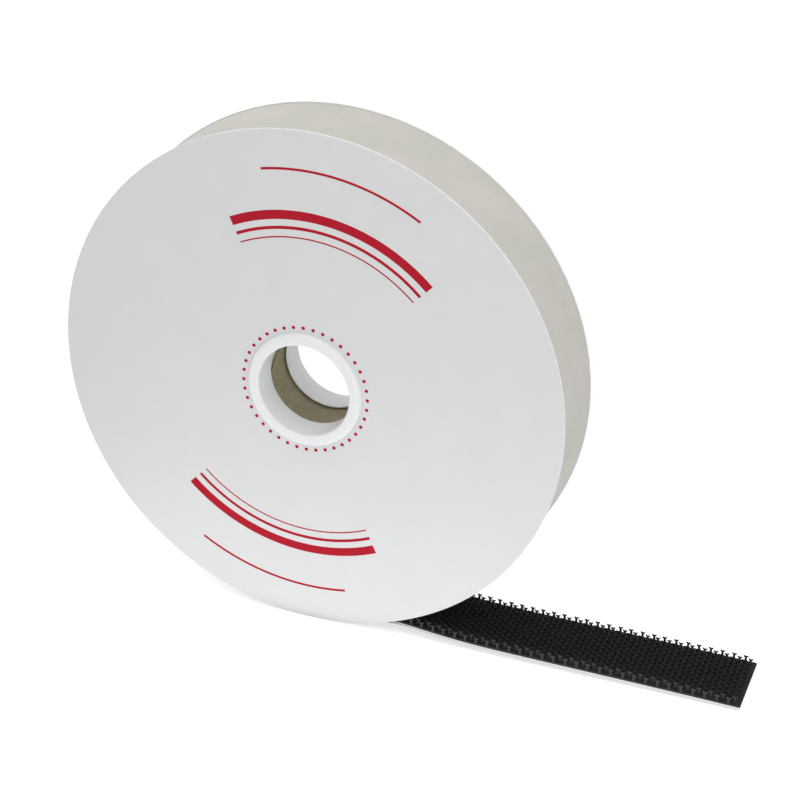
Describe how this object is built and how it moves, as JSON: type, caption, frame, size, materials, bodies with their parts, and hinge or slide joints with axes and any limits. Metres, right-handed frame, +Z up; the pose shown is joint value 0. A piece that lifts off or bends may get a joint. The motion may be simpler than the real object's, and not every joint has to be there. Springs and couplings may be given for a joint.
{
  "type": "hook tape roll",
  "caption": "Roll of self-adhesive hook tape wound on a card-flanged reel with plastic hubs, its free end lying out on the table with the hooks up.",
  "frame": {"origin": "middle of the spindle bore, on the reel's axis half-way between the flanges", "axes": "+Y along the reel's axis from the front face to the rear face, +Z up with the reel standing on its rims, +X the way the free end of the tape lies"},
  "size_m": [0.2025, 0.0276, 0.15],
  "materials": {
    "coated_card": "white clay-coated board, semi-matt, die cut",
    "hub_plastic": "white moulded polystyrene, satin gloss",
    "core_board": "grey-brown spiral-wound paperboard, matt",
    "black_tape": "black moulded nylon hook tape, satin",
    "adhesive": "milky pressure-sensitive adhesive",
    "liner_paper": "greige siliconised release paper, satin"
  },
  "bodies": {
    "tape_end": {"release_liner": "liner_paper", "adhesive_film": "adhesive", "hook_tape": "black_tape", "tail_hooks": "black_tape", "outer_turn_hooks": "black_tape"},
    "reel": {"front_flange": "coated_card", "rear_flange": "coated_card", "front_hub": "hub_plastic", "rear_hub": "hub_plastic", "core_tube": "core_board", "inner_turns": "black_tape"}
  },
  "joints": [
    {"name": "reel_turn", "type": "hinge", "parent": "tape_end", "child": "reel", "pos_m": [0, 0, 0], "axis": [0, -1, 0], "continuous": true}
  ]
}
